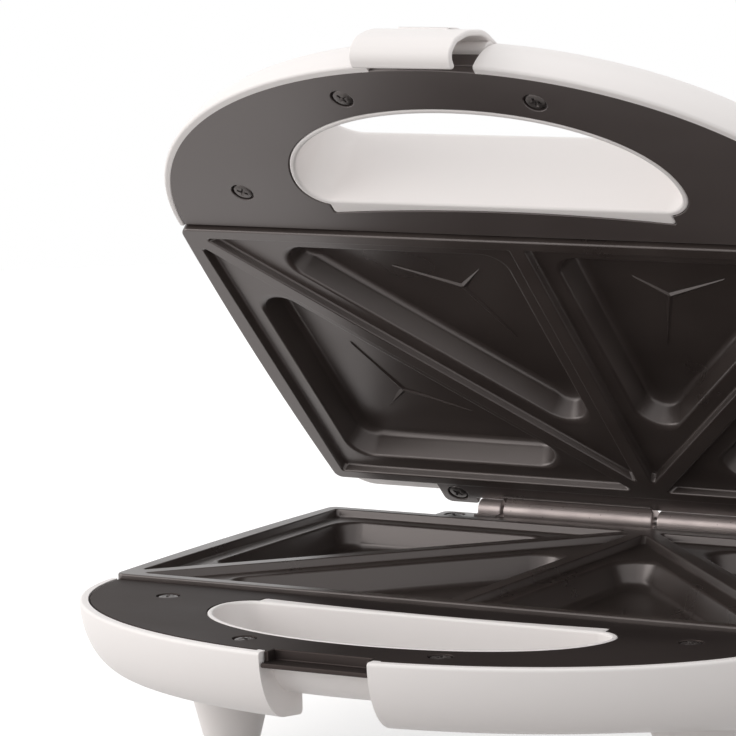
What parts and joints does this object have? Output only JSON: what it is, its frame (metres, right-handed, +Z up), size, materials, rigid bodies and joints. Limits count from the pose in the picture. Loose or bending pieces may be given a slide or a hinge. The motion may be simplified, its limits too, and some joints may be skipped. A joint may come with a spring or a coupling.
{
  "type": "sandwich toaster",
  "caption": "Countertop sandwich toaster, half open, with hinged cast plates with triangular pockets, grip openings, a latch clip and tapered legs.",
  "frame": {"origin": "on the counter, under the middle of the box round the whole toaster as it stands half open", "axes": "+Z up, -Y towards the grips and the latch at the front, +X to the right seen from the front"},
  "size_m": [0.226, 0.2239, 0.2126],
  "materials": {
    "shell": "smooth white plastic, soft gloss",
    "bezel": "dark grey-brown plastic, satin",
    "plate": "cast, dark non-stick coating, satin",
    "steel": "bright steel",
    "black_screw": "blackened steel",
    "element": "steel sheath, dulled by heat",
    "reflector": "plain sheet",
    "ceramic": "moulded, off-white",
    "rubber": "matt rubber",
    "red_lens": "clear red plastic",
    "green_lens": "clear green plastic"
  },
  "bodies": {
    "base": {"lower_shell": "shell", "lower_bezel": "bezel", "lower_plate": "plate", "lower_element": "element", "lower_reflector": "reflector", "lower_thermostat": "ceramic", "thermal_fuse": "ceramic", "terminal_block": "ceramic", "cord_gland": "rubber", "lower_bushing": "rubber", "hinge_pin": "steel", "pad_1": "rubber", "pad_2": "rubber", "pad_3": "rubber", "pad_4": "rubber", "lower_bezel_screw_1": "black_screw", "lower_bezel_screw_2": "black_screw", "lower_bezel_screw_3": "black_screw", "lower_bezel_screw_4": "black_screw", "lower_ear_screw_1": "black_screw", "lower_ear_screw_2": "black_screw", "lower_tray_screw_1": "steel", "lower_tray_screw_2": "steel"},
    "lid": {"upper_shell": "shell", "upper_bezel": "bezel", "upper_plate": "plate", "upper_element": "element", "upper_reflector": "reflector", "upper_thermostat": "ceramic", "power_lens": "red_lens", "ready_lens": "green_lens", "lamp_holder": "ceramic", "upper_bushing": "rubber", "latch_pin": "steel", "upper_bezel_screw_1": "black_screw", "upper_bezel_screw_2": "black_screw", "upper_bezel_screw_3": "black_screw", "upper_bezel_screw_4": "black_screw", "upper_ear_screw_1": "black_screw", "upper_ear_screw_2": "black_screw", "upper_tray_screw_1": "steel", "upper_tray_screw_2": "steel"},
    "latch": {"latch_clip": "shell"}
  },
  "joints": [
    {"name": "lid_hinge", "type": "hinge", "parent": "base", "child": "lid", "pos_m": [0, 0.098, 0.053], "axis": [-1, 0, 0], "range_deg": [-45, 60]},
    {"name": "latch_hinge", "type": "hinge", "parent": "lid", "child": "latch", "pos_m": [0, -0.03621, 0.20517], "axis": [-1, 0, 0], "range_deg": [-24, 20]}
  ]
}
